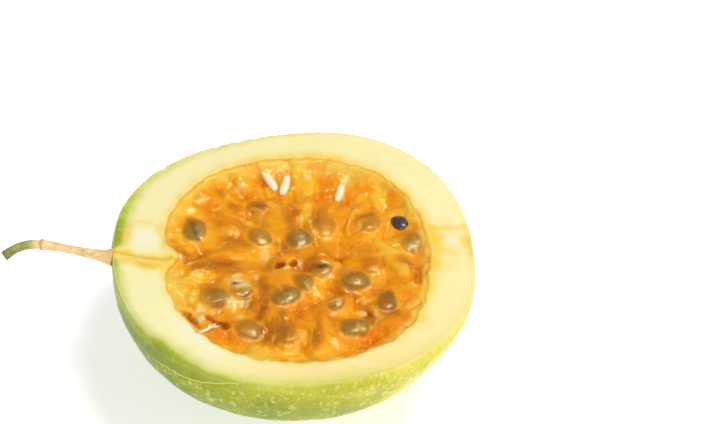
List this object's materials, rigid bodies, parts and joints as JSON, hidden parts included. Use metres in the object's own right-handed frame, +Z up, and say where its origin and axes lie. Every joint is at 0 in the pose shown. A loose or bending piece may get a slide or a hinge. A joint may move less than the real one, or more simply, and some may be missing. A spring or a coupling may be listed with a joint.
{
  "type": "passion fruit half",
  "caption": "Half of a cut green passion fruit: speckled rind with a thick pale wall, filled with juicy orange seed sacs, with a short bent stalk.",
  "frame": {"origin": "middle of the small flat spot that the half rests on", "axes": "+X from the stalk end to the blossom end, +Z up out of the cut face, -Y towards the viewer of the pictured side"},
  "size_m": [0.0997, 0.0708, 0.0347],
  "materials": {
    "rind": "satin waxy green skin with pale specks, and matt moist pale yellow flesh",
    "pulp": "wet translucent orange sacs with olive grey seeds",
    "stalk": "dry fibrous tan wood, green at the tip"
  },
  "bodies": {
    "root": {"rind_shell": "rind", "seed_pulp": "pulp", "stalk": "stalk"}
  },
  "joints": []
}
